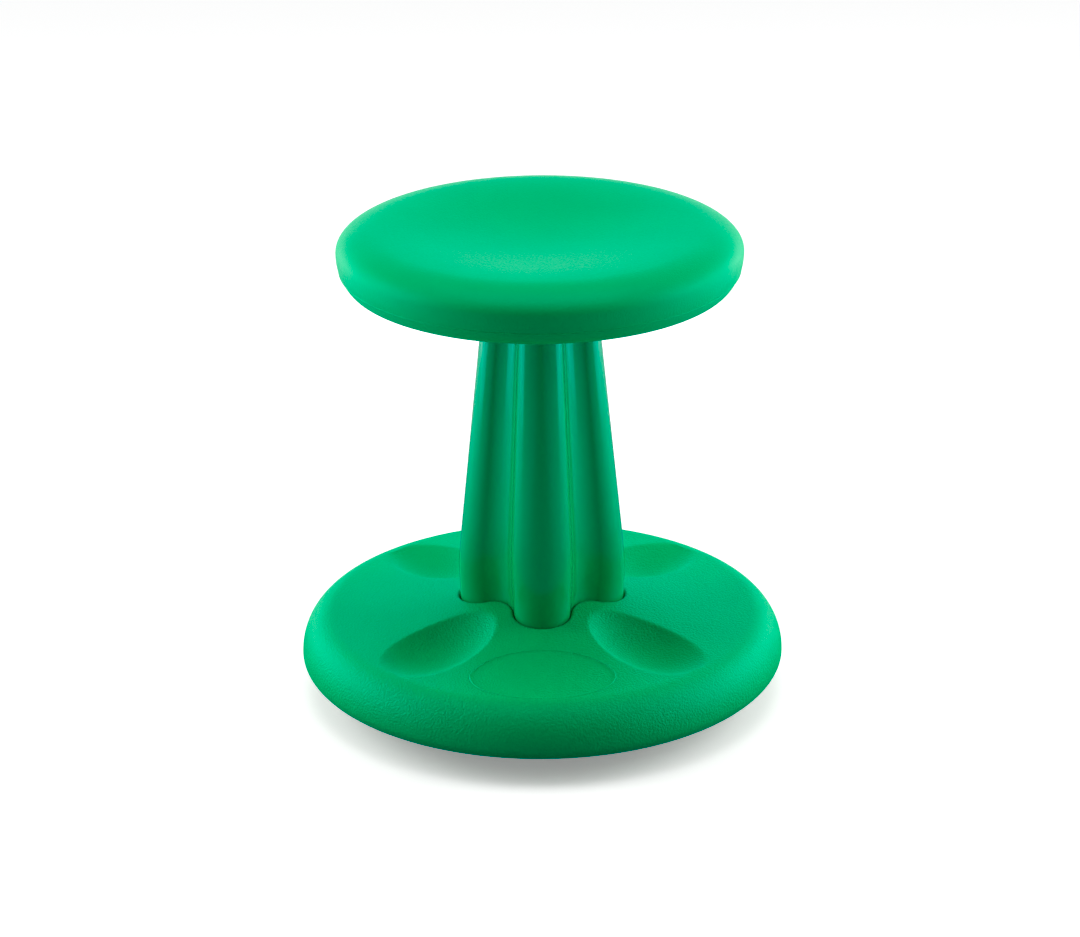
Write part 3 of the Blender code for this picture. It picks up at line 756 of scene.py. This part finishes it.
def relief(tree, shader, layers):
    """Stacks bumps. Each layer is (height output, strength, distance in metres)."""
    normal = None
    for height, strength, distance in layers:
        bump = tree.nodes.new("ShaderNodeBump")
        bump.inputs["Strength"].default_value = strength
        bump.inputs["Distance"].default_value = distance
        tree.links.new(height, bump.inputs["Height"])
        if normal is not None:
            tree.links.new(normal, bump.inputs["Normal"])
        normal = bump.outputs["Normal"]
    tree.links.new(normal, shader.inputs["Normal"])


def moulded_plastic(name, shade, roughness, grain_scale, grain_height):
    """Blow-moulded polyethylene: an even sand grain from the mould, and a slow unevenness of the wall."""
    made, tree, shader = shader_material(name, IOR=1.46, Specular_Tint=GREEN_SHINE)
    light, deep = (tuple(channel * shade for channel in colour) for colour in (GREEN, GREEN_DEEP))
    mottle(tree, shader, light, deep, scale=14.0)
    grain = noise(tree, grain_scale, detail=2.0, roughness=0.6)
    wall = noise(tree, scale=22.0, detail=1.0)
    vary_roughness(tree, shader, grain, roughness - GRAIN_DRIFT, roughness + GRAIN_DRIFT)
    relief(tree, shader, [(wall, 0.25, 0.0012), (grain, 0.6, grain_height)])
    return made


def polished_plastic():
    """The column's smooth wall: slightly hazy, with a slow ripple."""
    made, tree, shader = shader_material("polished_green_plastic", IOR=1.58, Specular_Tint=GREEN_SHINE)
    mottle(tree, shader, GLOSSY_GREEN, GLOSSY_GREEN_DEEP, scale=9.0)
    haze = noise(tree, scale=60.0, detail=3.0)
    ripple = noise(tree, scale=18.0, detail=1.0)
    vary_roughness(tree, shader, haze, 0.11, 0.16)
    relief(tree, shader, [(ripple, 0.15, 0.0008)])
    return made


def rubber():
    made, tree, shader = shader_material("black_rubber_fine")
    mottle(tree, shader, BLACK, BLACK_WORN, scale=90.0)
    grain = noise(tree, scale=1500.0, detail=2.0)
    vary_roughness(tree, shader, grain, 0.68, 0.86)
    relief(tree, shader, [(grain, 0.4, 0.0001)])
    return made


def zinc():
    made, tree, shader = shader_material("zinc_plated_steel_fine", Metallic=1.0)
    mottle(tree, shader, ZINC_GREY, ZINC_PALE, scale=160.0)
    brushed = noise(tree, scale=700.0, detail=3.0)
    vary_roughness(tree, shader, brushed, 0.28, 0.42)
    relief(tree, shader, [(brushed, 0.2, 0.00005)])
    return made


def dress(piece, finish, node):
    piece.data.materials.clear()
    piece.data.materials.append(finish)
    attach(piece, "root")
    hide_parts(node)


# ---------------------------------------------------------------- studio


def ramp(tree, source, span, values):
    """A soft step from one value to another over a span of the source."""
    made = tree.nodes.new("ShaderNodeMapRange")
    made.interpolation_type = "SMOOTHSTEP"
    made.inputs["From Min"].default_value = span[0]
    made.inputs["From Max"].default_value = span[1]
    made.inputs["To Min"].default_value = values[0]
    made.inputs["To Max"].default_value = values[1]
    tree.links.new(source, made.inputs["Value"])
    return made.outputs["Result"]


def calculated(tree, operation, *terms):
    made = tree.nodes.new("ShaderNodeMath")
    made.operation = operation
    for term, socket in zip(terms, made.inputs):
        tree.links.new(term, socket)
    return made.outputs["Value"]


def mixed(tree, share, first, second):
    made = tree.nodes.new("ShaderNodeMixShader")
    tree.links.new(share, made.inputs["Fac"])
    tree.links.new(first, made.inputs[1])
    tree.links.new(second, made.inputs[2])
    return made.outputs["Shader"]


def coloured(tree, kind, colour, output):
    """A shader of one colour."""
    made = tree.nodes.new(kind)
    made.inputs["Color"].default_value = colour
    return made.outputs[output]


def camera_rays(tree):
    return tree.nodes.new("ShaderNodeLightPath").outputs["Is Camera Ray"]


def floor_bounce(tree, spot):
    """The greys that the stool is lit by and mirrors: darker under it, lighter on both sides."""
    split = tree.nodes.new("ShaderNodeSeparateXYZ")
    tree.links.new(spot, split.inputs["Vector"])
    aside = calculated(tree, "ABSOLUTE", split.outputs["X"])
    grey = tree.nodes.new("ShaderNodeBsdfDiffuse")
    tree.links.new(ramp(tree, aside, BOUNCE_SPAN, BOUNCE_GREYS), grey.inputs["Color"])
    return grey.outputs["BSDF"]


def floor_seen(tree, spot):
    """What the camera sees: a white floor with lifted shadows, turning into the backdrop far away."""
    white = (FLOOR_WHITE * RED_LEFT, FLOOR_WHITE, FLOOR_WHITE, 1.0)
    glow = (FLOOR_GLOW * RED_LEFT + RED_BLACK_LEVEL, FLOOR_GLOW, FLOOR_GLOW, 1.0)
    lit = tree.nodes.new("ShaderNodeAddShader")
    tree.links.new(coloured(tree, "ShaderNodeBsdfDiffuse", white, "BSDF"), lit.inputs[0])
    tree.links.new(coloured(tree, "ShaderNodeEmission", glow, "Emission"), lit.inputs[1])
    backdrop = coloured(tree, "ShaderNodeEmission", BACKDROP, "Emission")
    reach = tree.nodes.new("ShaderNodeVectorMath")
    reach.operation = "LENGTH"
    tree.links.new(spot, reach.inputs[0])
    far = ramp(tree, reach.outputs["Value"], FLOOR_FADE, (0.0, 1.0))
    return mixed(tree, far, lit.outputs["Shader"], backdrop)


def make_floor():
    """A plain floor, a hair below the stool, that bounces less light than the camera sees on it."""
    place = (0, 0, -FLOOR_DROP)
    bpy.ops.mesh.primitive_circle_add(
        vertices=FLOOR_CORNERS, radius=FLOOR_RADIUS, fill_type="NGON", location=place
    )
    floor = bpy.context.object
    floor.name = "floor"
    made = bpy.data.materials.new("pale_floor")
    made.use_nodes = True
    tree = made.node_tree
    tree.nodes.clear()
    spot = tree.nodes.new("ShaderNodeTexCoord").outputs["Object"]
    surface = mixed(tree, camera_rays(tree), floor_bounce(tree, spot), floor_seen(tree, spot))
    output = tree.nodes.new("ShaderNodeOutputMaterial")
    tree.links.new(surface, output.inputs["Surface"])
    floor.data.materials.append(made)


def dome(tree):
    """A bright white sweep low behind the stool, a dim white ceiling, and a dark room in front."""
    place = tree.nodes.new("ShaderNodeTexCoord")
    split = tree.nodes.new("ShaderNodeSeparateXYZ")
    tree.links.new(place.outputs["Generated"], split.inputs["Vector"])
    behind = ramp(tree, split.outputs["Y"], SWEEP_BEHIND, (0.0, SWEEP_LIGHT))
    below_ceiling = ramp(tree, split.outputs["Z"], SWEEP_TOP, (1.0, 0.0))
    sweep = calculated(tree, "MULTIPLY", behind, below_ceiling)
    ceiling = ramp(tree, split.outputs["Z"], CEILING_UP, (0.0, CEILING_LIGHT))
    made = tree.nodes.new("ShaderNodeBackground")
    tree.links.new(calculated(tree, "ADD", sweep, ceiling), made.inputs["Strength"])
    return made.outputs["Background"]


def make_world():
    """The dome lights the stool, and the camera sees the plain backdrop."""
    world = bpy.data.worlds.new("studio")
    bpy.context.scene.world = world
    world.use_nodes = True
    tree = world.node_tree
    tree.nodes.clear()
    backdrop = coloured(tree, "ShaderNodeBackground", BACKDROP, "Background")
    output = tree.nodes.new("ShaderNodeOutputWorld")
    tree.links.new(mixed(tree, camera_rays(tree), dome(tree), backdrop), output.inputs["Surface"])


def softbox(name, place, size, power):
    """A rectangular light that faces the middle of the stool."""
    data = bpy.data.lights.new(name, "AREA")
    data.shape = "RECTANGLE"
    data.size = size[0]
    data.size_y = size[1]
    data.energy = power
    lamp = bpy.data.objects.new(name, data)
    lamp.location = place
    lamp.rotation_euler = (LIGHTS_AIM - place).to_track_quat("-Z", "Y").to_euler()
    bpy.context.scene.collection.objects.link(lamp)


def make_lights():
    """One softbox overhead, and five on each side."""
    softbox("top_light", TOP_PLACE, TOP_SIZE, TOP_LIGHT)
    for side, name in ((-1, "left"), (1, "right")):
        flip = Vector((side, 1.0, 1.0))
        softbox(name + "_front", flip * FRONT_SIDE_PLACE, SIDE_SIZE, FRONT_SIDE_LIGHT)
        softbox(name + "_high", flip * HIGH_SIDE_PLACE, SIDE_SIZE, HIGH_SIDE_LIGHT)
        softbox(name + "_back", flip * BACK_PLACE, BACK_SIZE, BACK_LIGHT)
        softbox(name + "_strip", flip * STRIP_PLACE, STRIP_SIZE, STRIP_LIGHT)
        softbox(name + "_front_strip", flip * FRONT_STRIP_PLACE, FRONT_STRIP_SIZE, FRONT_STRIP_LIGHT)


def set_colours():
    """Plain display colours, with the red that white reflections add to the green taken out."""
    view = bpy.context.scene.view_settings
    view.view_transform = "Standard"
    view.use_curve_mapping = True
    view.curve_mapping.black_level = (RED_BLACK_LEVEL, 0.0, 0.0)
    view.curve_mapping.update()


# ---------------------------------------------------------------- assembly

make_camera()
set_colours()
make_floor()
make_world()
make_lights()

SEAT_FINISH = moulded_plastic("fine_grained_green_plastic", **SEAT_SURFACE)
FOOT_FINISH = moulded_plastic("sand_grained_green_plastic", **FOOT_SURFACE)
RUBBER = rubber()
ZINC = zinc()

dress(seat(), SEAT_FINISH, "seat_shell")
dress(column(), polished_plastic(), "column")
dress(foot(), FOOT_FINISH, "base_shell")
dress(panel_bead(), FOOT_FINISH, "base_shell")
dress(sole(), RUBBER, "sole_ring")
dress(cap(), RUBBER, "bolt_cap")
for node in ("tie_bolt", "bolt_washer", "lock_washer", "seat_insert"):
    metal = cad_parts[node]
    metal.data.materials.clear()
    metal.data.materials.append(ZINC)
